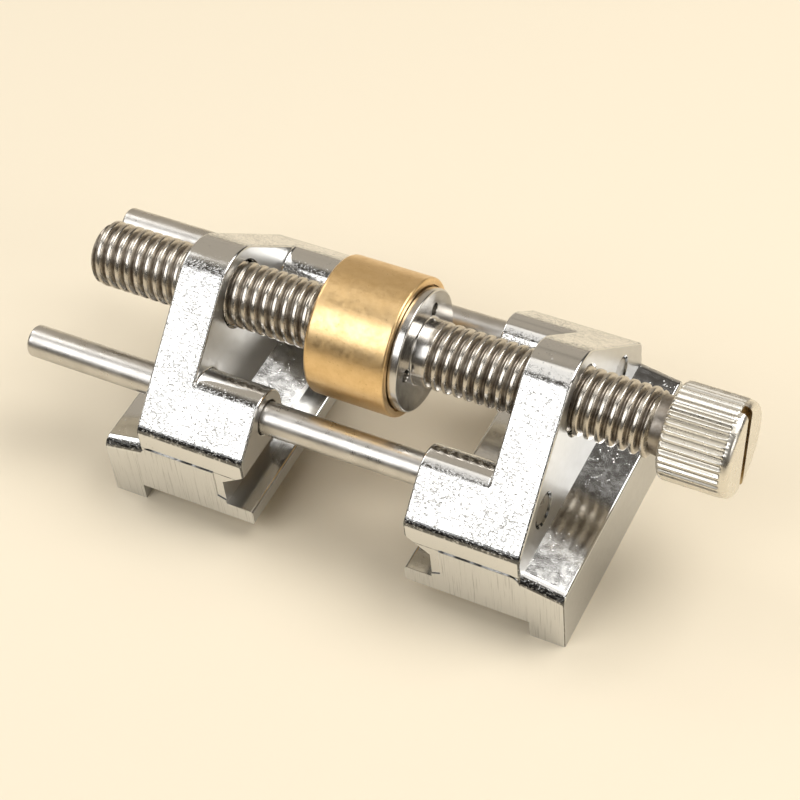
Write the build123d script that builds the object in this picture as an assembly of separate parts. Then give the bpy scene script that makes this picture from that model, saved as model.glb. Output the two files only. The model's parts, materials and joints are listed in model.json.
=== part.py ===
from build123d import *
import os
from math import acos, atan2, cos, hypot, pi, radians, sin

# Side-clamping honing guide, millimetres.
# X runs along the lead screw towards the knob, Y to the back, Z up from the feet.
# The pieces are drawn about the plane midway between the jaws, and written out
# with the origin under the middle of the overall box, level with the feet.

# Heights and spacings that place the shafts
SCREW_Z = 32.0
ROD_Z = 21.7
ROD_Y = 16.5
HALF_DEPTH = 26.8
ROD_LEFT_X = -64.6
KNOB_RIGHT_X = 65.8
ORIGIN_X = (ROD_LEFT_X + KNOB_RIGHT_X) / 2

# Lead screw: left half right-handed, right half left-handed, joined inside the hub
THREAD_R = 6.0
THREAD_ROOT_R = 5.05
PITCH = 2.0
CREST_FLAT = 0.3
SCREW_LEFT_X = -57.0
COLLAR_LEFT_X = -11.7
JOURNAL_LEFT_X = -8.2
JOURNAL_RIGHT_X = 10.1
JOURNAL_R = 5.0
TAIL_R = 3.0
TAIL_LENGTH = 10.0
THREAD_END_CHAMFER = 0.6
NECK_LEFT_X = 50.9
NECK_R = 5.3

# Knob
KNOB_LEFT_X = 53.2
KNOB_R = 8.5
KNURL_COUNT = 38
KNURL_DEPTH = 0.5
KNURL_LEFT_X = 54.0
KNURL_RIGHT_X = 64.0
KNOB_LEFT_BEVEL = 0.8
KNOB_RIM_R = 8.4
KNOB_RIM_ROUND = 1.2
KNOB_SLOT_WIDTH = 1.9
KNOB_SLOT_DEPTH = 1.4
KNOB_SLOT_ANGLE = 79.0
SPIGOT_R = 3.5
SPIGOT_RIGHT_X = 61.0

# Roller and the pieces it turns on
ROLLER_R = 12.6
ROLLER_LEFT_X = -9.3
ROLLER_RIGHT_X = 6.1
ROLLER_CHAMFER = 0.6
ROLLER_BORE_R = 8.05
LEFT_RECESS_R = 10.4
LEFT_RECESS_DEPTH = 1.3
RIGHT_RECESS_R = 11.4
RIGHT_RECESS_DEPTH = 0.8
BUSH_R = 8.0
BUSH_BORE_R = 7.05
HUB_SLEEVE_R = 7.0
FLANGE_R = 11.1
FLANGE_LEFT_X = 5.5
FLANGE_RIGHT_X = 7.9
FLANGE_BEVEL = 0.7
HUB_NECK_R = 6.0
HUB_NECK_CONE = 0.4
SPANNER_HOLE_R = 1.15
SPANNER_HOLE_PCR = 7.5
SPANNER_HOLE_DEPTH = 1.7
SPANNER_HOLE_COUNT = 3
SPANNER_HOLE_START = 51.0
RETAINER_R = 10.0
RETAINER_LEFT_X = -9.3

# Guide rods
ROD_R = 3.0
ROD_END_CHAMFER = 0.6
ROD_RIGHT_CHAMFER = 0.3
ROD_SET_BACK = 0.25

# Jaw, stated for the right-hand one
EAR_INNER_X = 28.4
EAR_OUTER_X = 37.1
EAR_TOP_R = 8.9
BOSS_R = 5.2
BOSS_INNER_X = 15.6
GROOVE_WALL_X = 20.3
LIP_TIP_X = 15.0
LIP_TOP_Z = 7.2
BODY_BOTTOM_Z = 3.8
GROOVE_TOP_Z = 13.05
GROOVE_MOUTH_Z = 16.25
LEDGE_LOW_Z = 8.0
LEDGE_HIGH_Z = 11.0
FLANGE_INNER_Z = 14.9
FLANGE_OUTER_Z = 13.3
JAW_OUTER_X = 45.0
FOOT_INNER_X = 38.4
SCREW_HOLE_R = 6.15
ROD_SLIDE_R = 3.06
HOLE_CHAMFER = 0.35
CHEEK_INNER_X = 22.0
CHEEK_TOP_Z = 15.0
CHEEK_ROUND = 2.1
CAST_INSET = 0.2
CORNER_ROUND = 2.0
EDGE_ROUND = 0.45
LIP_ROUND = 0.6


def tube(r_out, r_in, x0, x1):
    """A plain ring about the screw axis."""
    ring = Circle(r_out)
    if r_in > 0:
        ring -= Circle(r_in)
    start = Plane(origin=(x0, 0, SCREW_Z), z_dir=(1, 0, 0))
    return extrude(start * ring, x1 - x0)


def rod_along_x(r, x0, x1, y, z):
    """A plain cylinder along X."""
    start = Plane(origin=(x0, y, z), z_dir=(1, 0, 0))
    return extrude(start * Circle(r), x1 - x0)


def turned(points, y=0.0, z=SCREW_Z):
    """Revolves a profile of (x, radius) points about a line along X."""
    section = make_face(Polyline([(x, y, z + r) for x, r in points], close=True))
    return revolve(section, Axis((0, y, z), (1, 0, 0)), 360)


def thread_profile(x0, x1):
    """Crest and root points of a row of V rings between two planes."""
    count = int((x1 - x0) / PITCH)
    first = x0 + ((x1 - x0) - count * PITCH) / 2
    points = []
    for i in range(count):
        middle = first + (i + 0.5) * PITCH
        points.append((middle - PITCH / 2 + CREST_FLAT / 2, THREAD_ROOT_R))
        points.append((middle - CREST_FLAT / 2, THREAD_R))
        points.append((middle + CREST_FLAT / 2, THREAD_R))
        points.append((middle + PITCH / 2 - CREST_FLAT / 2, THREAD_ROOT_R))
    return points


def left_screw():
    """Right-handed half: thread, plain collar, journal and the tail that joins the halves."""
    outline = [(SCREW_LEFT_X, 0.0)]
    outline.append((SCREW_LEFT_X, THREAD_ROOT_R - THREAD_END_CHAMFER / 2))
    outline += thread_profile(SCREW_LEFT_X + THREAD_END_CHAMFER, COLLAR_LEFT_X)
    outline += [(COLLAR_LEFT_X, THREAD_R), (JOURNAL_LEFT_X, THREAD_R)]
    outline += [(JOURNAL_LEFT_X, JOURNAL_R), (JOURNAL_RIGHT_X, JOURNAL_R)]
    outline += [(JOURNAL_RIGHT_X, TAIL_R), (JOURNAL_RIGHT_X + TAIL_LENGTH, TAIL_R)]
    outline.append((JOURNAL_RIGHT_X + TAIL_LENGTH, 0.0))
    return turned(outline)


def right_screw():
    """Left-handed half: socket for the tail, thread, plain neck and the knob's spigot."""
    outline = [(JOURNAL_RIGHT_X + TAIL_LENGTH, 0.0)]
    outline += [(JOURNAL_RIGHT_X + TAIL_LENGTH, TAIL_R), (JOURNAL_RIGHT_X, TAIL_R)]
    outline.append((JOURNAL_RIGHT_X, THREAD_ROOT_R))
    outline += thread_profile(JOURNAL_RIGHT_X, NECK_LEFT_X)
    outline += [(NECK_LEFT_X, NECK_R), (KNOB_LEFT_X, NECK_R)]
    outline += [(KNOB_LEFT_X, SPIGOT_R), (SPIGOT_RIGHT_X, SPIGOT_R)]
    outline.append((SPIGOT_RIGHT_X, 0.0))
    return turned(outline)


def knob():
    """Knob with a straight knurl, a plain rounded rim and a screwdriver slot across its face."""
    valley_r = KNOB_R - KNURL_DEPTH
    half_step = pi / KNURL_COUNT
    ridge = []
    for i in range(2 * KNURL_COUNT):
        r = KNOB_R if i % 2 == 0 else valley_r
        ridge.append((r * cos(i * half_step), r * sin(i * half_step)))
    start = Plane(origin=(KNOB_LEFT_X, 0, SCREW_Z), z_dir=(1, 0, 0))
    body = extrude(start * make_face(Polyline(ridge, close=True)), KNOB_RIGHT_X - KNOB_LEFT_X)
    rim_x = KNOB_RIGHT_X - KNOB_RIM_ROUND
    with_arc = [(KNOB_LEFT_X, 0.0), (KNOB_LEFT_X, KNOB_R - KNOB_LEFT_BEVEL)]
    with_arc += [(KNURL_LEFT_X, KNOB_R + 0.01), (KNURL_RIGHT_X, KNOB_R + 0.01)]
    with_arc += [(KNURL_RIGHT_X, 0.0)]
    body &= turned(with_arc)
    rim = [(KNURL_RIGHT_X, 0.0), (KNURL_RIGHT_X, valley_r), (KNURL_RIGHT_X + 0.3, KNOB_RIM_R)]
    rim.append((rim_x, KNOB_RIM_R))
    steps = 6
    for i in range(1, steps + 1):
        a = i * pi / (2 * steps)
        rim.append((rim_x + KNOB_RIM_ROUND * sin(a), KNOB_RIM_R - KNOB_RIM_ROUND * (1 - cos(a))))
    rim.append((KNOB_RIGHT_X, 0.0))
    body += turned(rim)
    body -= tube(SPIGOT_R, 0, KNOB_LEFT_X, SPIGOT_RIGHT_X)
    slot = Box(2 * KNOB_SLOT_DEPTH, 2 * KNOB_R + 1, KNOB_SLOT_WIDTH)
    return body - Pos(KNOB_RIGHT_X, 0, SCREW_Z) * Rot(KNOB_SLOT_ANGLE, 0, 0) * slot


def roller():
    """Brass wheel with a recess in each face."""
    left, right, c = ROLLER_LEFT_X, ROLLER_RIGHT_X, ROLLER_CHAMFER
    outline = [(left + LEFT_RECESS_DEPTH, ROLLER_BORE_R), (left + LEFT_RECESS_DEPTH, LEFT_RECESS_R)]
    outline += [(left, LEFT_RECESS_R), (left, ROLLER_R - c), (left + c, ROLLER_R)]
    outline += [(right - c, ROLLER_R), (right, ROLLER_R - c), (right, RIGHT_RECESS_R)]
    outline.append((right - RIGHT_RECESS_DEPTH, RIGHT_RECESS_R))
    outline.append((right - RIGHT_RECESS_DEPTH, ROLLER_BORE_R))
    return turned(outline)


def bush():
    """Plain bearing bush between the hub and the roller."""
    left = ROLLER_LEFT_X + LEFT_RECESS_DEPTH
    return tube(BUSH_R, BUSH_BORE_R, left, ROLLER_RIGHT_X - RIGHT_RECESS_DEPTH)


def hub():
    """Flanged sleeve on the journal, with blind spanner holes in the flange."""
    outline = [(JOURNAL_LEFT_X, JOURNAL_R), (JOURNAL_LEFT_X, HUB_SLEEVE_R)]
    outline += [(FLANGE_LEFT_X, HUB_SLEEVE_R), (FLANGE_LEFT_X, FLANGE_R)]
    outline += [(FLANGE_RIGHT_X - FLANGE_BEVEL, FLANGE_R), (FLANGE_RIGHT_X, FLANGE_R - FLANGE_BEVEL)]
    outline += [(FLANGE_RIGHT_X, HUB_NECK_R + HUB_NECK_CONE), (FLANGE_RIGHT_X + HUB_NECK_CONE, HUB_NECK_R)]
    outline.append((JOURNAL_RIGHT_X, HUB_NECK_R))
    outline.append((JOURNAL_RIGHT_X, JOURNAL_R))
    body = turned(outline)
    for i in range(SPANNER_HOLE_COUNT):
        a = radians(SPANNER_HOLE_START + i * 360 / SPANNER_HOLE_COUNT)
        y, z = SPANNER_HOLE_PCR * cos(a), SCREW_Z + SPANNER_HOLE_PCR * sin(a)
        left = FLANGE_RIGHT_X - SPANNER_HOLE_DEPTH
        body -= rod_along_x(SPANNER_HOLE_R, left, JOURNAL_RIGHT_X + 1, y, z)
    return body


def retainer():
    """Ring pressed on the screw's collar to hold the roller on from the left."""
    return tube(RETAINER_R, THREAD_R, RETAINER_LEFT_X, JOURNAL_LEFT_X)


def guide_rod(y):
    """Rod pressed in the right jaw and set back a little from its outer face."""
    free, fixed = ROD_END_CHAMFER, ROD_RIGHT_CHAMFER
    right = EAR_OUTER_X - ROD_SET_BACK
    outline = [(ROD_LEFT_X, 0.0), (ROD_LEFT_X, ROD_R - free), (ROD_LEFT_X + free, ROD_R)]
    outline += [(right - fixed, ROD_R), (right, ROD_R - fixed), (right, 0.0)]
    return turned(outline, y, ROD_Z)


CAST_HALF_DEPTH = HALF_DEPTH - CAST_INSET


def slope_geometry():
    """Where the sloped face touches the ear's round top and the boss, and its outer end."""
    span = hypot(ROD_Y, ROD_Z - SCREW_Z)
    tilt = atan2(ROD_Z - SCREW_Z, ROD_Y) + acos((EAR_TOP_R - BOSS_R) / span)
    top = (EAR_TOP_R * cos(tilt), SCREW_Z + EAR_TOP_R * sin(tilt))
    boss = (ROD_Y + BOSS_R * cos(tilt), ROD_Z + BOSS_R * sin(tilt))
    end_z = SCREW_Z + (EAR_TOP_R - CAST_HALF_DEPTH * cos(tilt)) / sin(tilt)
    return top, boss, (CAST_HALF_DEPTH, end_z)


def rounded_at(face, corners, radius):
    """Rounds the corners of a face that lie at the given (y, z) points."""
    def near(v):
        return any(hypot(v.Y - y, v.Z - z) < 0.01 for y, z in corners)
    return fillet([v for v in face.vertices() if near(v)], radius)


def ear():
    """Plate that carries the screw, with a round top and two sloped shoulders."""
    top, _, end = slope_geometry()
    low = BODY_BOTTOM_Z
    outline = Polyline((0, -end[0], low), (0, -end[0], end[1]), (0, -top[0], top[1]))
    outline += ThreePointArc((0, -top[0], top[1]), (0, 0, SCREW_Z + EAR_TOP_R), (0, *top))
    outline += Polyline((0, *top), (0, *end), (0, end[0], low), (0, -end[0], low))
    face = rounded_at(make_face(outline), [end, (-end[0], end[1])], CORNER_ROUND)
    return extrude(Pos(EAR_INNER_X, 0, 0) * face, EAR_OUTER_X - EAR_INNER_X, dir=(1, 0, 0))


def boss(side):
    """Arm round one guide rod, with the groove's sloped roof cut under it."""
    _, touch, end = slope_geometry()
    low = BODY_BOTTOM_Z
    inner_y = ROD_Y - BOSS_R
    middle_angle = (atan2(touch[1] - ROD_Z, touch[0] - ROD_Y) + pi) / 2
    middle = (ROD_Y + BOSS_R * cos(middle_angle), ROD_Z + BOSS_R * sin(middle_angle))
    outline = Polyline((0, *touch), (0, *end), (0, end[0], low), (0, inner_y, low), (0, inner_y, ROD_Z))
    outline += ThreePointArc((0, inner_y, ROD_Z), (0, *middle), (0, *touch))
    face = rounded_at(make_face(outline), [end], CORNER_ROUND)
    arm = extrude(Pos(BOSS_INNER_X, 0, 0) * face, EAR_INNER_X + 1 - BOSS_INNER_X, dir=(1, 0, 0))
    cut_tip = BOSS_INNER_X - 1
    slope = (GROOVE_MOUTH_Z - GROOVE_TOP_Z) / (GROOVE_WALL_X - BOSS_INNER_X)
    groove = [(cut_tip, BODY_BOTTOM_Z - 1), (GROOVE_WALL_X, BODY_BOTTOM_Z - 1)]
    groove += [(GROOVE_WALL_X, GROOVE_TOP_Z), (cut_tip, GROOVE_MOUTH_Z + slope)]
    arm -= across(groove, HALF_DEPTH + 1)
    return arm if side > 0 else mirror(arm, Plane.XZ)


def cheek(side):
    """Block under the boss and ear that stands a little proud, ground flush with the base."""
    inner_y = ROD_Y - BOSS_R
    outline = [(CHEEK_INNER_X, BODY_BOTTOM_Z), (CHEEK_INNER_X, CHEEK_TOP_Z)]
    outline += [(EAR_OUTER_X, CHEEK_TOP_Z), (EAR_OUTER_X, BODY_BOTTOM_Z)]
    block = across(outline, HALF_DEPTH)
    block = fillet([e for e in block.edges() if ends_cheek(e)], CHEEK_ROUND)
    keep = Box(2 * JAW_OUTER_X, HALF_DEPTH - inner_y, 2 * CHEEK_TOP_Z)
    return block & Pos(JAW_OUTER_X, side * (HALF_DEPTH + inner_y) / 2, CHEEK_TOP_Z) * keep


def ends_cheek(edge):
    """True for the cheek's upper outer edge."""
    c = edge.center()
    return abs(c.X - EAR_OUTER_X) < 0.01 and abs(c.Z - CHEEK_TOP_Z) < 0.01


def across(points, half):
    """Extrudes an (x, z) outline the same distance to the front and back."""
    section = make_face(Polyline([(x, 0, z) for x, z in points], close=True))
    return extrude(section, half, both=True, dir=(0, 1, 0))


def base():
    """Lower body: lip, ledge, outer flange and foot."""
    outline = [(LIP_TIP_X, BODY_BOTTOM_Z), (LIP_TIP_X, LIP_TOP_Z), (GROOVE_WALL_X, LIP_TOP_Z)]
    outline += [(GROOVE_WALL_X, LEDGE_LOW_Z), (EAR_INNER_X, LEDGE_HIGH_Z)]
    outline += [(EAR_OUTER_X, LEDGE_HIGH_Z), (EAR_OUTER_X, FLANGE_INNER_Z)]
    outline += [(JAW_OUTER_X, FLANGE_OUTER_Z), (JAW_OUTER_X, 0.0), (FOOT_INNER_X, 0.0)]
    outline.append((FOOT_INNER_X, BODY_BOTTOM_Z))
    body = across(outline, HALF_DEPTH)
    shoulder = [e for e in body.edges() if runs_along_shoulder(e)]
    body = fillet(shoulder, CORNER_ROUND)
    lip = [e for e in body.edges() if runs_across(e, LIP_TIP_X)]
    body = fillet(lip, LIP_ROUND)
    rim = [e for e in body.edges() if runs_across(e, JAW_OUTER_X) and e.center().Z > BODY_BOTTOM_Z]
    return fillet(rim, EDGE_ROUND)


def runs_across(edge, x):
    """True for the edges that run from front to back at the given x."""
    c = edge.center()
    return abs(c.X - x) < 0.01 and abs(c.Y) < 0.01


def runs_along_shoulder(edge):
    """True for the front and back edges of the outer flange's top."""
    c = edge.center()
    high = c.Z > FLANGE_OUTER_Z and EAR_OUTER_X < c.X < JAW_OUTER_X
    return high and abs(abs(c.Y) - HALF_DEPTH) < 0.01


def on_rounded_face(edge):
    """True for the ear's and bosses' outline edges, apart from those underneath."""
    c = edge.center()
    planes = (BOSS_INNER_X, EAR_INNER_X, EAR_OUTER_X)
    box = edge.bounding_box()
    flat = box.max.X - box.min.X < 0.01
    high = c.Z > GROOVE_MOUTH_Z + 0.5 or abs(abs(c.Y) - CAST_HALF_DEPTH) < 0.01
    return flat and high and any(abs(c.X - x) < 0.01 for x in planes)


def jaw_body():
    """Casting of the right-hand jaw before its holes."""
    body = ear() + boss(1) + boss(-1)
    body = fillet([e for e in body.edges() if on_rounded_face(e)], EDGE_ROUND)
    return body + base() + cheek(1) + cheek(-1)


def hole(r, y, z, x0, x1):
    """Cutter for a through hole with a small chamfer at each mouth."""
    c = HOLE_CHAMFER
    outline = [(x0 - 1, 0.0), (x0 - 1, r + c + 1), (x0 + c, r)]
    outline += [(x1 - c, r), (x1 + 1, r + c + 1), (x1 + 1, 0.0)]
    return turned(outline, y, z)


def jaw(rod_hole_r):
    body = jaw_body() - hole(SCREW_HOLE_R, 0, SCREW_Z, EAR_INNER_X, EAR_OUTER_X)
    for y in (-ROD_Y, ROD_Y):
        body -= hole(rod_hole_r, y, ROD_Z, BOSS_INNER_X, EAR_OUTER_X)
    return body


def write(shape, node):
    """Moves a piece to the part's own origin and exports it."""
    export_step(Pos(-ORIGIN_X, 0, 0) * shape, os.path.join("parts", node + ".step"))


os.makedirs("parts", exist_ok=True)
write(jaw(ROD_R), "right_jaw")
write(mirror(jaw(ROD_SLIDE_R), Plane.YZ), "left_jaw")
write(guide_rod(-ROD_Y), "front_guide_rod")
write(guide_rod(ROD_Y), "rear_guide_rod")
write(left_screw(), "left_screw")
write(right_screw(), "right_screw")
write(hub(), "roller_hub")
write(retainer(), "roller_retainer")
write(bush(), "roller_bush")
write(roller(), "roller")
write(knob(), "adjusting_knob")
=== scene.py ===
import json
from math import cos, floor, pi, radians, sin, tau

import bmesh
import bpy
from mathutils import Matrix, Vector


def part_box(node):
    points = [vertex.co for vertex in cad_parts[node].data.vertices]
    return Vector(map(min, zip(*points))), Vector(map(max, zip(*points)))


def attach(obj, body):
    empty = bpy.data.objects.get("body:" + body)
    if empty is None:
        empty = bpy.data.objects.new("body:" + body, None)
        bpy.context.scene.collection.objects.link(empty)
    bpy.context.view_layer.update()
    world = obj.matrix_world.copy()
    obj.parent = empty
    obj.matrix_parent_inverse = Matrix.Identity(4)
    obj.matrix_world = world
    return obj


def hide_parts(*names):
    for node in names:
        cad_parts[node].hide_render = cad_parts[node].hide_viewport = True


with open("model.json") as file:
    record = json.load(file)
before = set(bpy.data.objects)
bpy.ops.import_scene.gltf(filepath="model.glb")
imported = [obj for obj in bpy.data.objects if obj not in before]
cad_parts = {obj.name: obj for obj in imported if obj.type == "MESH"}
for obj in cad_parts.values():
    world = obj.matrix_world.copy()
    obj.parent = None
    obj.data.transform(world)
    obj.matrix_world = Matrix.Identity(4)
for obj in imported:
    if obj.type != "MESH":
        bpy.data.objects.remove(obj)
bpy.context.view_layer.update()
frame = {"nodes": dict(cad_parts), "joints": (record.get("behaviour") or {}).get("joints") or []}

MM = 0.001

# Places read from the frame, in metres
SCREW_Z = next(j["pos_m"][2] for j in frame["joints"] if j["name"] == "knob_turn")
LEFT_LOW, LEFT_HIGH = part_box("left_screw")
RIGHT_LOW, RIGHT_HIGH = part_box("right_screw")
KNOB_LOW, KNOB_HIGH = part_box("adjusting_knob")
ROLLER_LOW, ROLLER_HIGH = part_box("roller")
HUB_LOW, HUB_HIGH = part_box("roller_hub")
RETAINER_LOW, RETAINER_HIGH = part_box("roller_retainer")
BUSH_LOW, BUSH_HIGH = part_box("roller_bush")
ROD_LOW, ROD_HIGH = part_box("front_guide_rod")
FACE_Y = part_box("right_jaw")[1].y

# Jaws
CHEEK_TOP_Z = 15.0 * MM

# Guide rods
ROD_R = (ROD_HIGH.z - ROD_LOW.z) / 2
ROD_Y = abs(ROD_HIGH.y + ROD_LOW.y) / 2
ROD_Z = (ROD_HIGH.z + ROD_LOW.z) / 2
ROD_CHAMFER = 0.3 * MM
ROD_END_ROUND = 0.3 * MM

# Lead screw
THREAD_R = (LEFT_HIGH.z - LEFT_LOW.z) / 2
ROOT_R = THREAD_R - 0.98 * MM
PITCH = 2.0 * MM
COLLAR_X = RETAINER_LOW.x - 2.4 * MM
TAIL_R = 3.0 * MM
TAIL_LENGTH = 10.0 * MM
JOURNAL_R = 5.0 * MM
NECK_R = 5.3 * MM
NECK_X = KNOB_LOW.x - 2.3 * MM
SPIGOT_R = 3.5 * MM
RUNOUT = 0.9 * MM
RINGS_PER_PITCH = 16
# Half pitches from the middle of a crest to where its flank begins and ends
CREST_ENDS, ROOT_BEGINS = 0.26, 0.94
END_FACE_R = ROOT_R - 0.15 * MM
END_CHAMFER = 0.2 * MM
NECK_CHAMFER_X, NECK_CHAMFER_R = 0.3 * MM, 0.2 * MM

# Knob
KNOB_R = (KNOB_HIGH.z - KNOB_LOW.z) / 2
RIDGES = 38
KNURL_DEPTH = 0.5 * MM
KNURL_END_X = KNOB_HIGH.x - 1.8 * MM
RIM_ROUND = 1.2 * MM
SLOT_WIDTH = 1.9 * MM
SLOT_DEPTH = 1.4 * MM
SLOT_ANGLE = radians(79)
KNOB_BEVEL = 1.0 * MM
# The inner face falls back by EASE_X over its last EASE_R before the bevel
EASE_X, EASE_R = 0.05 * MM, 0.3 * MM
KNURL_SHARPNESS = 2.2
PLAIN_R = KNOB_R - 0.12 * MM
KNURL_FADE = 0.3 * MM

# Hub and roller
FLANGE_R = (HUB_HIGH.z - HUB_LOW.z) / 2
FLANGE_LEFT_X = BUSH_HIGH.x + 0.2 * MM
FLANGE_RIGHT_X = FLANGE_LEFT_X + 2.4 * MM
SLEEVE_R = 7.0 * MM
SPANNER_HOLE_R = 1.15 * MM
SPANNER_CIRCLE_R = 7.5 * MM
SPANNER_DEPTH = 1.7 * MM
SPANNER_HOLES = 3
SPANNER_START = radians(51)
FLANGE_ROUND = 0.35 * MM
ROLLER_R = (ROLLER_HIGH.z - ROLLER_LOW.z) / 2
ROLLER_ROUND = 0.75 * MM
RECESS_ROUND = 0.15 * MM
LEFT_RECESS_R = 10.4 * MM
RIGHT_RECESS_R = 11.4 * MM
BUSH_R = (BUSH_HIGH.z - BUSH_LOW.z) / 2
CLEARANCE = 0.05 * MM
BUSH_BORE_R = SLEEVE_R + CLEARANCE
RING_ROUND = 0.2 * MM

# Camera, aimed as the photograph was taken
CAMERA_TARGET = Vector((0.00107, 0.0, 0.01650))
CAMERA_AZIMUTH = radians(31.67)
CAMERA_ELEVATION = radians(48.53)
CAMERA_ROLL = radians(-6.85)
CAMERA_DISTANCE = 0.3771
CAMERA_LENS = 95.35
SENSOR_WIDTH = 36.0

FLOOR_HALF = 1.5

# Directions of the pale walls that the upward faces and the tops of the round pieces mirror,
# and the cosine of the angle from them at which a wall begins and is at full brightness
PALE_WALLS = ((-0.55, 0.50, 0.67), (-0.37, 0.90, 0.23))
WALL_BEGINS = 0.865
WALL_FULL = 0.955

# Colours, linear
PLATE = (0.71, 0.71, 0.70, 1)
# Dark colour for the plate's marks and for the shade painted on it
PLATE_MARKS_AND_SHADE = (0.07, 0.07, 0.068, 1)
SCREW_CREST = (0.59, 0.55, 0.49, 1)
# Oil in the screw's thread roots, and painted shade there
SCREW_OIL_AND_SHADE = (0.13, 0.10, 0.072, 1)
ROD_BRIGHT = (0.63, 0.61, 0.575, 1)
ROD_DULL = (0.55, 0.53, 0.495, 1)
# Darker end face of the rods, and painted shade at their rims
ROD_END_TONE_AND_RIM_SHADE = (0.10, 0.09, 0.08, 1)
POLISHED_STEEL = (0.62, 0.60, 0.57, 1)
BRASS = (0.87, 0.62, 0.32, 1)
BRASS_TARNISH = (0.80, 0.555, 0.27, 1)
BRASS_SPECK = (0.60, 0.38, 0.15, 1)
BRONZE = (0.62, 0.40, 0.20, 1)
BRONZE_DARK = (0.42, 0.27, 0.14, 1)
NICKEL = (0.78, 0.75, 0.68, 1)
# Darker tone of the knurl's valleys
NICKEL_VALLEY_TONE = (0.42, 0.38, 0.31, 1)
SLOT_BROWN = (0.46, 0.36, 0.21, 1)
FLOOR = (0.83, 0.74, 0.578, 1)
ROOM_DARK = (0.080, 0.071, 0.060, 1)
ROOM_PALE = (0.52, 0.46, 0.375, 1)


# ---------------------------------------------------------------- mesh tools

def rounded(points, radius, steps=4):
    """Breaks every inner corner of an (x, r) path with an arc, which takes less than half of a side."""
    out = [points[0]]
    for before, here, after in zip(points, points[1:], points[2:]):
        a = Vector(before) - Vector(here)
        b = Vector(after) - Vector(here)
        reach = min(radius, min(a.length, b.length) / 2.2)
        start = Vector(here) + a.normalized() * reach
        end = Vector(here) + b.normalized() * reach
        for i in range(steps + 1):
            t = i / steps
            p = start * (1 - t) ** 2 + Vector(here) * 2 * t * (1 - t) + end * t ** 2
            out.append((p.x, p.y))
    out.append(points[-1])
    return out


def lathe(name, path, segments, y=0.0, z=SCREW_Z, closed=False):
    """Turns a path about a line along X. A path point is (x, r), and r may be a function of angle."""
    mesh = bpy.data.meshes.new(name)
    bm = bmesh.new()
    rings = []
    for x, r in path:
        if not callable(r) and r < 1e-9:
            rings.append([bm.verts.new((x, y, z))])
            continue
        ring = []
        for i in range(segments):
            a = i * tau / segments
            radius = r(a) if callable(r) else r
            ring.append(bm.verts.new((x, y + radius * cos(a), z + radius * sin(a))))
        rings.append(ring)
    pairs = list(zip(rings, rings[1:]))
    if closed:
        pairs.append((rings[-1], rings[0]))
    for low, high in pairs:
        for i in range(segments):
            k = (i + 1) % segments
            if len(low) == 1:
                bm.faces.new((low[0], high[k], high[i]))
            elif len(high) == 1:
                bm.faces.new((low[i], low[k], high[0]))
            else:
                bm.faces.new((low[i], low[k], high[k], high[i]))
    bmesh.ops.recalc_face_normals(bm, faces=bm.faces)
    bm.to_mesh(mesh)
    bm.free()
    obj = bpy.data.objects.new(name, mesh)
    bpy.context.scene.collection.objects.link(obj)
    return obj


def smooth(obj, angle=32):
    """Smooth shading with creases kept, weighted so that flat faces stay flat."""
    for p in obj.data.polygons:
        p.use_smooth = True
    obj.data.set_sharp_from_angle(angle=radians(angle))
    weigh = obj.modifiers.new("weigh", "WEIGHTED_NORMAL")
    weigh.keep_sharp = True
    return obj


def cut(obj, cutters):
    """Cuts the cutters out of obj and leaves a plain mesh."""
    for cutter in cutters:
        tool = obj.modifiers.new("cut", "BOOLEAN")
        tool.object = cutter
        tool.solver = "EXACT"
    bpy.context.view_layer.update()
    done = obj.evaluated_get(bpy.context.evaluated_depsgraph_get())
    mesh = bpy.data.meshes.new_from_object(done)
    obj.modifiers.clear()
    obj.data = mesh
    for cutter in cutters:
        bpy.data.objects.remove(cutter)
    return obj


def box_cutter(size, matrix):
    mesh = bpy.data.meshes.new("cutter")
    bm = bmesh.new()
    bmesh.ops.create_cube(bm, size=1.0, matrix=matrix @ Matrix.Diagonal((*size, 1.0)))
    bm.to_mesh(mesh)
    bm.free()
    obj = bpy.data.objects.new("cutter", mesh)
    bpy.context.scene.collection.objects.link(obj)
    return obj


def step(low, high, x):
    """Smooth 0 to 1 as x goes from low to high."""
    t = min(1.0, max(0.0, (x - low) / (high - low)))
    return t * t * (3 - 2 * t)


def mix(a, b, t):
    return a + (b - a) * t


# ---------------------------------------------------------------- pieces

def thread_height(phase):
    """1 on the crest and 0 in the root of a thread, over one pitch."""
    half_pitches = abs(2 * (phase - floor(phase)) - 1)
    return 1 - step(CREST_ENDS, ROOT_BEGINS, half_pitches)


def thread_rings(x0, x1, hand, start_limit, end_limit):
    """Rings of a helical thread. The limits say how high it may stand at a distance from each end."""
    count = round((x1 - x0) / (PITCH / RINGS_PER_PITCH))
    rings = []
    for i in range(count + 1):
        x = mix(x0, x1, i / count)
        def radius(a, x=x):
            r = mix(ROOT_R, THREAD_R, thread_height((x - x0) / PITCH - hand * a / tau))
            return end_limit(x1 - x, start_limit(x - x0, r))
        rings.append((x, radius))
    return rings


def chamfered(foot_r):
    """The thread rises from foot_r at 45 degrees."""
    return lambda away, r: min(r, foot_r + away)


def runs_out(away, r):
    """The thread fades into a plain bar of the crest's radius."""
    return mix(THREAD_R, r, step(0, RUNOUT, away))


def left_screw():
    inner = HUB_HIGH.x
    path = [(LEFT_LOW.x, 0.0), (LEFT_LOW.x, END_FACE_R)]
    start_limit = chamfered(ROOT_R + 0.1 * MM)
    path += thread_rings(LEFT_LOW.x + END_CHAMFER, COLLAR_X, 1, start_limit, runs_out)
    path += [(RETAINER_HIGH.x, THREAD_R), (RETAINER_HIGH.x, JOURNAL_R), (inner, JOURNAL_R)]
    path += [(inner, TAIL_R), (inner + TAIL_LENGTH, TAIL_R), (inner + TAIL_LENGTH, 0.0)]
    return smooth(lathe("left_screw_thread", path, 72), 50)


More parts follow.
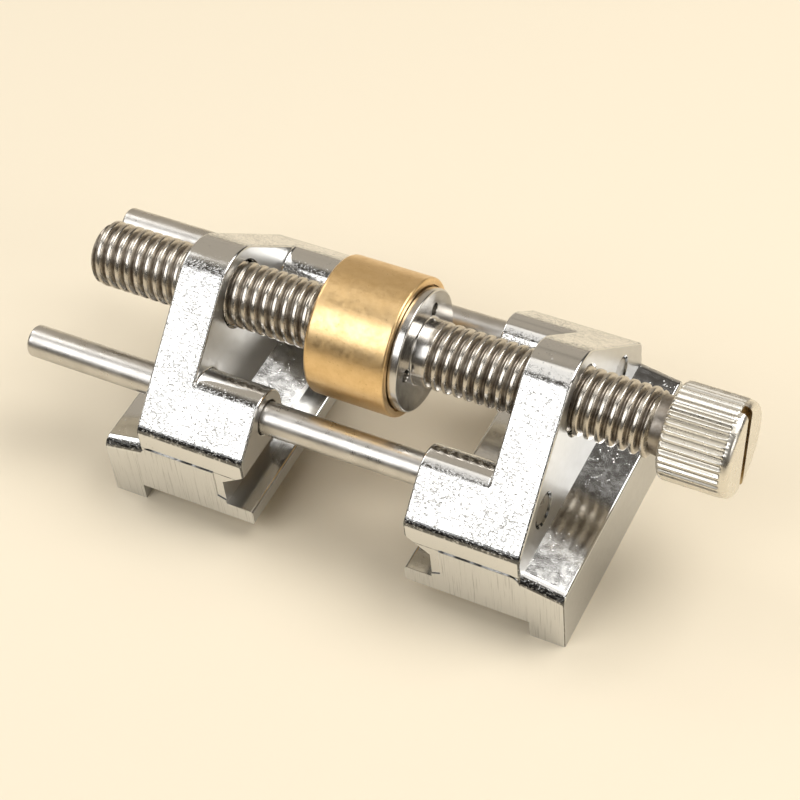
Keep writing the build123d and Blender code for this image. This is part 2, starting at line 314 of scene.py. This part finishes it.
def right_screw():
    inner = RIGHT_LOW.x
    path = [(inner + TAIL_LENGTH, 0.0), (inner + TAIL_LENGTH, TAIL_R), (inner, TAIL_R)]
    path += thread_rings(inner, NECK_X, -1, runs_out, chamfered(NECK_R))
    path += [(KNOB_LOW.x - NECK_CHAMFER_X, NECK_R), (KNOB_LOW.x, NECK_R - NECK_CHAMFER_R)]
    path += [(KNOB_LOW.x, SPIGOT_R), (RIGHT_HIGH.x, SPIGOT_R), (RIGHT_HIGH.x, 0.0)]
    return smooth(lathe("right_screw_thread", path, 72), 50)


def knob():
    def knurl(depth, r):
        """Ridges with rounded tops and V valleys."""
        return lambda a: r - depth * abs(sin(a * RIDGES / 2)) ** KNURL_SHARPNESS
    low, high = KNOB_LOW.x, KNOB_HIGH.x
    bevel_x = low + EASE_X
    path = [(RIGHT_HIGH.x, 0.0), (RIGHT_HIGH.x, SPIGOT_R), (low, SPIGOT_R)]
    path.append((low, KNOB_R - KNOB_BEVEL - EASE_R))
    bevel_steps = 8
    for i in range(bevel_steps + 1):
        t = i / bevel_steps
        a = t * pi / 2
        r = KNOB_R - KNOB_BEVEL * (1 - sin(a))
        depth = KNURL_DEPTH * step(0.05, 0.9, t)
        path.append((bevel_x + KNOB_BEVEL * (1 - cos(a)), knurl(depth, r)))
    body_steps = 12
    for i in range(1, body_steps + 1):
        x = mix(bevel_x + KNOB_BEVEL, KNURL_END_X, i / body_steps)
        path.append((x, knurl(KNURL_DEPTH, KNOB_R)))
    fade_steps = 3
    for i in range(1, fade_steps + 1):
        t = i / fade_steps
        r = mix(KNOB_R, PLAIN_R, t)
        path.append((KNURL_END_X + KNURL_FADE * t, knurl(KNURL_DEPTH * (1 - t), r)))
    rim_steps = 8
    for i in range(1, rim_steps + 1):
        a = i * pi / (2 * rim_steps)
        path.append((high - RIM_ROUND * (1 - sin(a)), PLAIN_R - RIM_ROUND * (1 - cos(a))))
    path.append((high, 0.0))
    body = lathe("knob_body", path, RIDGES * 10)
    turn = Matrix.Translation((high, 0, SCREW_Z)) @ Matrix.Rotation(SLOT_ANGLE, 4, "X")
    return smooth(cut(body, [box_cutter((2 * SLOT_DEPTH, 3 * KNOB_R, SLOT_WIDTH), turn)]))


def spanner_drill():
    """Path of the cutter for one spanner hole, which widens at 45 degrees at its mouth."""
    deepest = FLANGE_RIGHT_X - SPANNER_DEPTH
    mouth = 0.12 * MM
    past = 0.3 * MM
    point = 0.3 * MM
    path = [(deepest - point, 0.0), (deepest, SPANNER_HOLE_R)]
    path.append((FLANGE_RIGHT_X - mouth, SPANNER_HOLE_R))
    path.append((FLANGE_RIGHT_X + past, SPANNER_HOLE_R + mouth + past))
    path.append((FLANGE_RIGHT_X + past, 0.0))
    return path


def hub():
    path = [(HUB_LOW.x, JOURNAL_R), (HUB_LOW.x, SLEEVE_R), (FLANGE_LEFT_X, SLEEVE_R)]
    path += [(FLANGE_LEFT_X, FLANGE_R), (FLANGE_RIGHT_X, FLANGE_R), (FLANGE_RIGHT_X, THREAD_R)]
    path += [(HUB_HIGH.x, THREAD_R), (HUB_HIGH.x, JOURNAL_R)]
    outer = rounded(path[2:7], FLANGE_ROUND, 5)
    body = lathe("hub_flange", path[:2] + outer + path[7:], 160, closed=True)
    holes = []
    for i in range(SPANNER_HOLES):
        a = SPANNER_START + i * tau / SPANNER_HOLES
        y, z = SPANNER_CIRCLE_R * cos(a), SCREW_Z + SPANNER_CIRCLE_R * sin(a)
        holes.append(lathe("cutter", spanner_drill(), 32, y, z))
    return smooth(cut(body, holes))


def roller():
    left, right = ROLLER_LOW.x, ROLLER_HIGH.x
    bore = BUSH_R + CLEARANCE
    path = [(BUSH_LOW.x, bore), (BUSH_LOW.x, LEFT_RECESS_R), (left, LEFT_RECESS_R), (left, ROLLER_R)]
    path += [(right, ROLLER_R), (right, RIGHT_RECESS_R), (BUSH_HIGH.x, RIGHT_RECESS_R)]
    path.append((BUSH_HIGH.x, bore))
    shaped = rounded(path[:3], RECESS_ROUND)[:-1] + rounded(path[2:6], ROLLER_ROUND, 7)
    return smooth(lathe("brass_roller", shaped + path[6:], 192, closed=True))


def retainer():
    left, right = RETAINER_LOW.x, RETAINER_HIGH.x
    r = (RETAINER_HIGH.z - RETAINER_LOW.z) / 2
    path = [(right, THREAD_R), (right, r), (left, r), (left, THREAD_R)]
    return smooth(lathe("retaining_ring", rounded(path, RING_ROUND), 128, closed=True))


def bush():
    left, right = BUSH_LOW.x, BUSH_HIGH.x
    path = [(left, BUSH_BORE_R), (left, BUSH_R), (right, BUSH_R), (right, BUSH_BORE_R)]
    return smooth(lathe("bearing_bush", rounded(path, RING_ROUND), 128, closed=True))


def rod(name, node):
    """A bar with a softly domed left end and a chamfered right end."""
    low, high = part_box(node)
    y, z = (low.y + high.y) / 2, (low.z + high.z) / 2
    r = (high.z - low.z) / 2
    dome = [(low.x, 0.0), (low.x + 0.04 * MM, r * 0.5), (low.x + 0.15 * MM, r * 0.76)]
    shoulder = [dome[-1], (low.x + 0.65 * MM, r), (high.x, r)]
    path = dome + rounded(shoulder, ROD_END_ROUND)[1:-1]
    path += [(high.x - ROD_CHAMFER, r), (high.x, r - ROD_CHAMFER), (high.x, 0.0)]
    return smooth(lathe(name, path, 72, y, z))


# ---------------------------------------------------------------- materials

class Surface:
    """A principled material with short calls for its node tree."""

    def __init__(self, name, metallic=1.0):
        self.material = bpy.data.materials.new(name)
        self.material.use_nodes = True
        self.tree = self.material.node_tree
        self.bsdf = self.tree.nodes["Principled BSDF"]
        self.bsdf.inputs["Metallic"].default_value = metallic
        self.coords = self.tree.nodes.new("ShaderNodeTexCoord")
        self.place = self.coords.outputs["Object"]

    def add(self, kind, **inputs):
        node = self.tree.nodes.new(kind)
        for key, value in inputs.items():
            self.feed(node.inputs[key.replace("_", " ")], value)
        return node

    def feed(self, socket, value):
        if isinstance(value, bpy.types.NodeSocket):
            self.tree.links.new(value, socket)
        else:
            socket.default_value = value

    def math(self, operation, a, b=0.0):
        node = self.tree.nodes.new("ShaderNodeMath")
        node.operation = operation
        self.feed(node.inputs[0], a)
        self.feed(node.inputs[1], b)
        return node.outputs[0]

    def spread(self, value, from_low, from_high, to_low=0.0, to_high=1.0):
        node = self.add("ShaderNodeMapRange", Value=value)
        node.interpolation_type = "SMOOTHSTEP"
        node.inputs["From Min"].default_value = from_low
        node.inputs["From Max"].default_value = from_high
        node.inputs["To Min"].default_value = to_low
        node.inputs["To Max"].default_value = to_high
        return node.outputs[0]

    def stretched(self, scale):
        """Object coordinates multiplied by one scale per axis, in features per metre."""
        node = self.tree.nodes.new("ShaderNodeVectorMath")
        node.operation = "MULTIPLY"
        self.feed(node.inputs[0], self.place)
        node.inputs[1].default_value = scale
        return node.outputs[0]

    def noise(self, scale, detail=3.0, roughness=0.5, vector=None):
        node = self.add("ShaderNodeTexNoise", Vector=vector or self.place, Scale=scale)
        node.inputs["Detail"].default_value = detail
        node.inputs["Roughness"].default_value = roughness
        return node.outputs["Fac"]

    def cells(self, scale):
        node = self.add("ShaderNodeTexVoronoi", Vector=self.place, Scale=scale)
        return node.outputs["Distance"]

    def split(self, vector):
        return self.add("ShaderNodeSeparateXYZ", Vector=vector).outputs

    def blend(self, amount, a, b):
        node = self.tree.nodes.new("ShaderNodeMix")
        node.data_type = "RGBA"
        self.feed(node.inputs["Factor"], amount)
        self.feed(node.inputs[6], a)
        self.feed(node.inputs[7], b)
        return node.outputs[2]

    def raise_by(self, height, depth):
        """Adds a bump whose full height is depth metres."""
        node = self.add("ShaderNodeBump", Height=height)
        node.inputs["Strength"].default_value = 1.0
        node.inputs["Distance"].default_value = depth
        return node.outputs["Normal"]

    def finish(self, colour, roughness, normal=None):
        self.feed(self.bsdf.inputs["Base Color"], colour)
        self.feed(self.bsdf.inputs["Roughness"], roughness)
        if normal is not None:
            self.feed(self.bsdf.inputs["Normal"], normal)
        return self.material

    def length(self, across, up):
        square = self.math("ADD", self.math("MULTIPLY", across, across), self.math("MULTIPLY", up, up))
        return self.math("SQRT", square)

    def axis_distance(self):
        """Distance from the screw's axis."""
        xyz = self.split(self.place)
        return self.length(xyz[1], self.math("SUBTRACT", xyz[2], SCREW_Z))

    def rod_distance(self):
        """Distance from the axis of the nearer guide rod."""
        xyz = self.split(self.place)
        across = self.math("SUBTRACT", self.math("ABSOLUTE", xyz[1]), ROD_Y)
        return self.length(across, self.math("SUBTRACT", xyz[2], ROD_Z))


def plated_casting():
    """Bright plate, wrinkled on the slopes, satin on the end faces and ground on the cheeks."""
    s = Surface("plated_casting")
    # Where each finish lies
    xyz = s.split(s.place)
    facing = s.split(s.coords.outputs["Normal"])
    sideways = s.math("ABSOLUTE", facing[1])
    ground = s.spread(s.math("ABSOLUTE", xyz[1]), FACE_Y - 0.13 * MM, FACE_Y - 0.05 * MM)
    cast = s.math("SUBTRACT", 1.0, ground)
    end = s.math("MULTIPLY", s.spread(s.math("ABSOLUTE", facing[0]), 0.85, 0.97), cast)
    upright = s.spread(sideways, 0.90, 0.985, 1.0, 0.0)
    sloped = s.math("MULTIPLY", s.spread(sideways, 0.25, 0.55), upright)
    sloped = s.math("MULTIPLY", sloped, cast)
    # Wrinkles and pits
    dense = s.spread(s.noise(140, 2.0), 0.35, 0.62, -0.03, 0.03)
    grain = s.noise(1.0, 2.5, 0.6, s.stretched((1700, 2900, 2900)))
    wrinkle = s.spread(s.math("ADD", grain, dense), 0.36, 0.47, 1.0, 0.0)
    wrinkle = s.math("MULTIPLY", wrinkle, s.math("ADD", s.math("MULTIPLY", sloped, 0.98), 0.02))
    pits = s.spread(s.cells(1700), 0.06, 0.26, 1.0, 0.0)
    pits = s.math("MULTIPLY", pits, s.spread(s.noise(430, 2.0, 0.6), 0.52, 0.62))
    hollow = s.math("MULTIPLY", s.math("MAXIMUM", wrinkle, s.math("MULTIPLY", pits, 0.7)), cast)
    ripples = s.math("MULTIPLY", s.noise(900, 2.0), 0.5)
    swell = s.math("ADD", ripples, s.math("MULTIPLY", s.noise(300, 2.0), 0.8))
    swell = s.math("MULTIPLY", swell, s.math("ADD", s.math("MULTIPLY", sloped, 0.975), 0.025))
    skin = s.math("SUBTRACT", s.math("MULTIPLY", swell, cast), s.math("MULTIPLY", hollow, 0.7))
    # Tool marks on the ground cheeks
    tool = s.noise(1.0, 3.0, 0.65, s.stretched((4600, 60, 120)))
    waves = s.noise(1.0, 1.0, 0.5, s.stretched((500, 60, 30)))
    marks = s.math("ADD", s.math("MULTIPLY", tool, 0.30), s.math("MULTIPLY", waves, 0.25))
    height = s.math("ADD", skin, s.math("MULTIPLY", marks, ground))
    rough = s.spread(s.noise(700, 3.0, 0.6), 0.3, 0.75, 0.10, 0.17)
    rough = s.math("ADD", rough, s.math("MULTIPLY", s.math("ADD", ground, end), 0.2))
    # Painted dark reflection in a band where a slope rolls over into a cheek, and a seam line over the
    # cheek
    outer = s.spread(s.math("ABSOLUTE", xyz[1]), FACE_Y - 1.15 * MM, FACE_Y - 0.85 * MM, 0.0, 0.3)
    steep = s.math("ADD", sideways, s.math("MULTIPLY", outer, s.spread(sideways, 0.3, 0.5)))
    painted_dark_band = s.math("MULTIPLY", s.spread(steep, 0.70, 0.80), s.spread(sideways, 0.978, 0.997, 1.0, 0.0))
    speckle = s.spread(s.noise(1900, 2.0, 0.6), 0.52, 0.66, 1.0, 0.35)
    painted_dark_band = s.math("MULTIPLY", s.math("MULTIPLY", painted_dark_band, speckle), cast)
    off_line = s.math("ABSOLUTE", s.math("SUBTRACT", xyz[2], CHEEK_TOP_Z))
    line = s.spread(off_line, 0.04 * MM, 0.16 * MM, 1.0, 0.0)
    outside = s.spread(s.math("ABSOLUTE", xyz[1]), FACE_Y - 0.4 * MM, FACE_Y - 0.25 * MM)
    patchy = s.spread(s.noise(500), 0.35, 0.6, 0.35, 1.0)
    seam = s.math("MULTIPLY", s.math("MULTIPLY", line, outside), patchy)
    # Everything that darkens the plate
    streak = s.math("MULTIPLY", s.spread(tool, 0.52, 0.75), s.math("MULTIPLY", ground, 0.35))
    shade = s.math("MAXIMUM", s.math("MAXIMUM", s.math("MULTIPLY", hollow, 0.5), seam), streak)
    # Painted dark reflection along the slopes' lower edges
    shade = s.math("MAXIMUM", shade, s.math("MULTIPLY", painted_dark_band, 0.9))
    # Painted shade: the end faces are darkened
    shade = s.math("MAXIMUM", shade, s.math("MULTIPLY", end, 0.22))
    # Painted shade in a ring round each guide rod where it enters the casting
    bore = s.spread(s.rod_distance(), ROD_R + 0.25 * MM, ROD_R + 0.42 * MM, 0.85, 0.0)
    shade = s.math("MAXIMUM", shade, bore)
    colour = s.blend(shade, PLATE, PLATE_MARKS_AND_SHADE)
    return s.finish(colour, rough, s.raise_by(height, 0.055 * MM))


def screw_steel():
    """Rolled thread, bright on the crests and dark in the roots, with oil and painted shade."""
    s = Surface("screw_steel")
    root = s.spread(s.axis_distance(), ROOT_R + 0.1 * MM, THREAD_R - 0.25 * MM, 1.0, 0.0)
    patchy = s.spread(s.noise(500, 3.0, 0.6), 0.35, 0.7)
    # Oil in the thread roots, darkened further as painted shade
    darker_in_hollows = s.math("MULTIPLY", root, s.math("ADD", 0.55, s.math("MULTIPLY", patchy, 0.4)))
    colour = s.blend(darker_in_hollows, SCREW_CREST, SCREW_OIL_AND_SHADE)
    rough = s.spread(s.noise(900, 2.0), 0.3, 0.7, 0.19, 0.29)
    rough = s.math("ADD", rough, s.math("MULTIPLY", darker_in_hollows, 0.2))
    return s.finish(colour, rough, s.raise_by(s.noise(1700, 3.0, 0.6), 0.012 * MM))


def rod_steel():
    """Drawn bar with fine scratches round it and along it, and a darker end with painted shade in a
    ring at its rim.
    """
    s = Surface("rod_steel")
    along = s.noise(1.0, 2.0, 0.6, s.stretched((120, 3800, 3800)))
    round_it = s.noise(1.0, 2.0, 0.6, s.stretched((5200, 150, 150)))
    height = s.math("ADD", s.math("MULTIPLY", along, 0.6), s.math("MULTIPLY", round_it, 0.4))
    rough = s.spread(s.noise(350, 3.0, 0.6), 0.3, 0.7, 0.26, 0.38)
    colour = s.blend(s.spread(s.noise(160), 0.35, 0.65), ROD_BRIGHT, ROD_DULL)
    # The end face is darker, and painted shade darkens a ring at its rim
    end = s.spread(s.split(s.place)[0], ROD_HIGH.x - 0.45 * MM, ROD_HIGH.x - 0.25 * MM)
    rim_shade = s.spread(s.rod_distance(), ROD_R - 0.55 * MM, ROD_R - 0.3 * MM, 0.3, 0.9)
    colour = s.blend(s.math("MULTIPLY", end, rim_shade), colour, ROD_END_TONE_AND_RIM_SHADE)
    return s.finish(colour, rough, s.raise_by(height, 0.006 * MM))


def hub_steel():
    """Turned and polished, with faint rings about the axis."""
    s = Surface("hub_steel")
    rings = s.add("ShaderNodeCombineXYZ", X=s.math("MULTIPLY", s.axis_distance(), 4200))
    turned = s.noise(1.0, 3.0, 0.6, rings.outputs[0])
    rough = s.spread(s.noise(600, 3.0), 0.3, 0.7, 0.16, 0.26)
    return s.finish(POLISHED_STEEL, rough, s.raise_by(turned, 0.004 * MM))


def roller_brass():
    """Turned brass, satin, with fine rings round it and slight tarnish."""
    s = Surface("roller_brass")
    rings = s.noise(1.0, 3.0, 0.65, s.stretched((5200, 25, 25)))
    tarnish = s.spread(s.noise(320, 5.0, 0.75), 0.36, 0.66)
    speck = s.spread(s.noise(1500, 2.0, 0.6), 0.62, 0.74)
    colour = s.blend(tarnish, BRASS, BRASS_TARNISH)
    colour = s.blend(s.math("MULTIPLY", speck, 0.45), colour, BRASS_SPECK)
    rough = s.spread(s.noise(900, 3.0, 0.6), 0.3, 0.7, 0.27, 0.37)
    rough = s.math("ADD", rough, s.math("MULTIPLY", tarnish, 0.05))
    grain = s.math("ADD", s.math("MULTIPLY", rings, 0.35), s.noise(1900, 2.0, 0.6))
    return s.finish(colour, rough, s.raise_by(grain, 0.011 * MM))


def bush_bronze():
    s = Surface("bush_bronze")
    colour = s.blend(s.spread(s.noise(900, 3.0), 0.4, 0.65), BRONZE, BRONZE_DARK)
    rough = s.spread(s.noise(1200), 0.3, 0.7, 0.35, 0.5)
    return s.finish(colour, rough, s.raise_by(s.noise(2500), 0.01 * MM))


def in_the_slot(s):
    """1 on the walls and floor of the knob's slot."""
    x, y, z = s.split(s.place)
    up = s.math("MULTIPLY", s.math("SUBTRACT", z, SCREW_Z), cos(SLOT_ANGLE))
    across = s.math("SUBTRACT", up, s.math("MULTIPLY", y, sin(SLOT_ANGLE)))
    half = SLOT_WIDTH / 2
    between = s.spread(s.math("ABSOLUTE", across), half + 0.02 * MM, half + 0.06 * MM, 1.0, 0.0)
    below = s.spread(x, KNOB_HIGH.x - 0.12 * MM, KNOB_HIGH.x - 0.02 * MM, 1.0, 0.0)
    deepest = KNOB_HIGH.x - SLOT_DEPTH
    above = s.spread(x, deepest - 0.1 * MM, deepest - 0.02 * MM)
    return s.math("MULTIPLY", s.math("MULTIPLY", between, below), above)


def knob_nickel():
    """Nickel plate, warmer and duller in the knurl's valleys."""
    s = Surface("knob_nickel")
    valley = s.spread(s.axis_distance(), KNOB_R - KNURL_DEPTH, PLAIN_R, 1.0, 0.0)
    on_knurl = s.spread(s.split(s.place)[0], KNURL_END_X, KNURL_END_X + KNURL_FADE, 1.0, 0.0)
    # Darker towards the knurl's valleys
    darker_in_hollows = s.math("MULTIPLY", s.math("MULTIPLY", valley, on_knurl), 0.6)
    colour = s.blend(darker_in_hollows, NICKEL, NICKEL_VALLEY_TONE)
    colour = s.blend(in_the_slot(s), colour, SLOT_BROWN)
    rough = s.spread(s.noise(800, 3.0, 0.6), 0.3, 0.7, 0.24, 0.36)
    return s.finish(colour, rough, s.raise_by(s.noise(1500, 3.0, 0.6), 0.012 * MM))


def pale_floor():
    s = Surface("pale_floor", metallic=0.0)
    return s.finish(FLOOR, 0.6)


# ---------------------------------------------------------------- assembly

def place(obj, node, body, material):
    """Stands a piece in for a CAD node on its body."""
    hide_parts(node)
    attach(obj, body)
    obj.data.materials.clear()
    obj.data.materials.append(material)


def paint(node, material):
    obj = frame["nodes"][node]
    obj.data.materials.clear()
    obj.data.materials.append(material)


SCREW = screw_steel()
ROD = rod_steel()
HUB = hub_steel()
CASTING = plated_casting()

place(left_screw(), "left_screw", "spindle", SCREW)
place(right_screw(), "right_screw", "spindle", SCREW)
place(knob(), "adjusting_knob", "spindle", knob_nickel())
place(hub(), "roller_hub", "spindle", HUB)
place(retainer(), "roller_retainer", "spindle", HUB)
place(bush(), "roller_bush", "carriage", bush_bronze())
place(roller(), "roller", "wheel", roller_brass())
for side in ("front", "rear"):
    node = side + "_guide_rod"
    place(rod(side + "_rod_bar", node), node, "fixed_jaw", ROD)
paint("right_jaw", CASTING)
paint("left_jaw", CASTING)


# ---------------------------------------------------------------- studio

def floor_plane(material):
    mesh = bpy.data.meshes.new("floor")
    half = FLOOR_HALF
    corners = [(-half, -half, 0), (half, -half, 0), (half, half, 0), (-half, half, 0)]
    mesh.from_pydata(corners, [], [(0, 1, 2, 3)])
    mesh.materials.append(material)
    obj = bpy.data.objects.new("floor", mesh)
    bpy.context.scene.collection.objects.link(obj)


def softbox(name, direction, distance, size, radiance, colour=(1, 1, 1)):
    """An area light of a given brightness, aimed at the middle of the object."""
    data = bpy.data.lights.new(name, "AREA")
    data.shape = "RECTANGLE"
    data.size, data.size_y = size
    data.energy = radiance * pi * size[0] * size[1]
    data.color = colour
    obj = bpy.data.objects.new(name, data)
    away = Vector(direction).normalized()
    obj.location = CAMERA_TARGET + away * distance
    obj.rotation_euler = away.to_track_quat("Z", "Y").to_euler()
    bpy.context.scene.collection.objects.link(obj)


def surroundings():
    """A dim room with warm pale walls and ceiling behind the object."""
    world = bpy.data.worlds.new("studio")
    world.use_nodes = True
    tree = world.node_tree
    coords = tree.nodes.new("ShaderNodeTexCoord")
    nearest = tree.nodes.new("ShaderNodeMath")
    nearest.operation = "MAXIMUM"
    for i, wall in enumerate(PALE_WALLS):
        towards = tree.nodes.new("ShaderNodeVectorMath")
        towards.operation = "DOT_PRODUCT"
        towards.inputs[1].default_value = wall
        tree.links.new(coords.outputs["Generated"], towards.inputs[0])
        tree.links.new(towards.outputs["Value"], nearest.inputs[i])
    ramp = tree.nodes.new("ShaderNodeValToRGB")
    tree.links.new(nearest.outputs[0], ramp.inputs[0])
    tree.links.new(ramp.outputs[0], tree.nodes["Background"].inputs["Color"])
    ramp.color_ramp.elements[0].color = ROOM_DARK
    ramp.color_ramp.elements[0].position = WALL_BEGINS
    ramp.color_ramp.elements[1].color = ROOM_PALE
    ramp.color_ramp.elements[1].position = WALL_FULL
    tree.nodes["Background"].inputs["Strength"].default_value = 1.0
    bpy.context.scene.world = world
    bpy.context.scene.view_settings.view_transform = "Standard"


def camera():
    """Aims the camera at the target, then rolls it about its own axis."""
    level = cos(CAMERA_ELEVATION)
    back = Vector((sin(CAMERA_AZIMUTH) * level, -cos(CAMERA_AZIMUTH) * level, sin(CAMERA_ELEVATION)))
    right = (-back).cross(Vector((0, 0, 1))).normalized()
    up = right.cross(-back)
    across = right * cos(CAMERA_ROLL) + up * sin(CAMERA_ROLL)
    upright = up * cos(CAMERA_ROLL) - right * sin(CAMERA_ROLL)
    data = bpy.data.cameras.new("camera")
    data.lens = CAMERA_LENS
    data.sensor_width = SENSOR_WIDTH
    obj = bpy.data.objects.new("camera", data)
    turn = Matrix((across, upright, back)).transposed().to_4x4()
    obj.matrix_world = Matrix.Translation(CAMERA_TARGET + back * CAMERA_DISTANCE) @ turn
    bpy.context.scene.collection.objects.link(obj)
    bpy.context.scene.camera = obj


floor_plane(pale_floor())
surroundings()
# Name, direction, distance and size in metres, brightness and colour
softbox("key", (-0.35, -0.61, 0.71), 0.80, (0.60, 0.50), 2.8)
softbox("left", (-0.75, 0.15, 0.65), 0.80, (0.30, 0.50), 3.0)
softbox("right", (0.85, -0.25, 0.45), 0.85, (0.40, 0.30), 2.8, (1.0, 0.97, 0.93))
softbox("overhead", (0.45, 0.35, 0.82), 0.95, (0.62, 0.62), 5.6, (1.0, 0.98, 0.95))
softbox("ceiling", (-0.02, 0.10, 0.995), 0.95, (0.62, 0.50), 1.1, (1.0, 0.97, 0.93))
camera()

bpy.context.view_layer.update()
